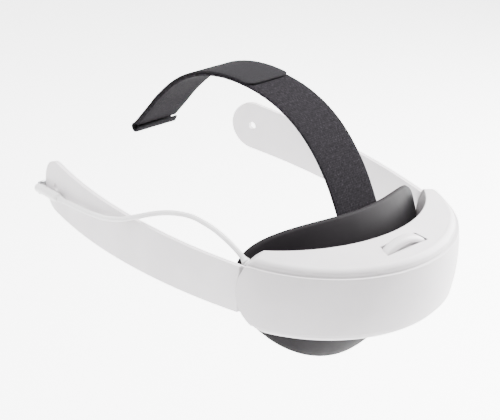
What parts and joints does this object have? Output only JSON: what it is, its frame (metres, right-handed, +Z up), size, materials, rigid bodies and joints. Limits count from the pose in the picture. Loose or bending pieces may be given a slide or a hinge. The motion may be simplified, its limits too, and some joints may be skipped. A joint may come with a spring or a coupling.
{
  "type": "virtual reality headset strap",
  "caption": "Powered head strap for a virtual reality headset: crescent battery housing with a fit wheel, sliding side bands, rear cradle, woven crown strap and cable.",
  "frame": {"origin": "centre of the housing's round back wall, at the middle of its height, inside the wearer's head space", "axes": "+X to the wearer's right, +Y forward towards the face, +Z up"},
  "size_m": [0.1831, 0.2371, 0.1447],
  "materials": {
    "white_shell": "fine satin moulded polycarbonate",
    "white_band": "satin flexible nylon",
    "grey_plastic": "plain moulded nylon",
    "cradle_plastic": "satin moulded charcoal",
    "pad_foam": "skinned soft foam",
    "strap_weave": "heathered elastic weave",
    "flap_smooth": "brushed loop fabric",
    "cord_jacket": "soft moulded jacket",
    "plug_shell": "smooth moulded",
    "steel": "plain",
    "plug_metal": "drawn, satin",
    "cell_wrap": "laminated foil",
    "foam": "closed cell",
    "board_green": "solder mask",
    "chip_black": "moulded epoxy",
    "light_pipe": "clear moulded"
  },
  "bodies": {
    "housing": {"outer_cover": "white_shell", "inner_cover": "white_shell", "chassis": "grey_plastic", "wheel_shaft": "steel", "shaft_washer": "steel", "detent_spring": "steel", "left_cell": "cell_wrap", "right_cell": "cell_wrap", "cell_foam": "foam", "circuit_board": "board_green", "board_chips": "chip_black", "charge_port": "steel", "status_light": "light_pipe", "cover_screws": "steel", "cradle_shell": "cradle_plastic", "cradle_pad": "pad_foam", "cradle_screws": "steel", "strap_anchor": "cradle_plastic", "anchor_rivets": "steel", "crown_strap": "strap_weave", "strap_flap": "flap_smooth", "cord_gland": "grey_plastic", "cord": "cord_jacket", "plug_relief": "cord_jacket", "plug_collar": "grey_plastic", "plug_body": "plug_shell", "plug_tip": "plug_metal"},
    "wheel": {"fit_wheel": "white_shell", "drive_pinion": "grey_plastic"},
    "left_band": {"left_band": "white_band"},
    "right_band": {"right_band": "white_band"},
    "left_rack": {"left_rack": "grey_plastic"},
    "right_rack": {"right_rack": "grey_plastic"}
  },
  "joints": [
    {"name": "left_band_slide", "type": "slide", "parent": "housing", "child": "left_band", "axis": [0.2576, -0.9662, 0], "range_m": [0, 0.015]},
    {"name": "right_band_slide", "type": "slide", "parent": "housing", "child": "right_band", "axis": [-0.2576, -0.9662, 0], "range_m": [0, 0.0151]},
    {"name": "wheel_turn", "type": "hinge", "parent": "housing", "child": "wheel", "pos_m": [0, -0.065, 0], "axis": [0, -1, 0], "range_deg": [0, 175]},
    {"name": "right_rack_turn", "type": "hinge", "parent": "housing", "child": "right_rack", "pos_m": [0, 0, 0], "axis": [0, 0, -1], "range_deg": [0, 11.5]},
    {"name": "left_rack_turn", "type": "hinge", "parent": "housing", "child": "left_rack", "pos_m": [0, 0, 0], "axis": [0, 0, 1], "range_deg": [0, 11.5]}
  ],
  "couplings": [
    {"joint": "right_band_slide", "follows": "left_band_slide", "ratio": 1},
    {"joint": "wheel_turn", "follows": "left_band_slide", "rad_per_m": 200},
    {"joint": "right_rack_turn", "follows": "left_band_slide", "rad_per_m": 12.97},
    {"joint": "left_rack_turn", "follows": "left_band_slide", "rad_per_m": 12.97}
  ]
}
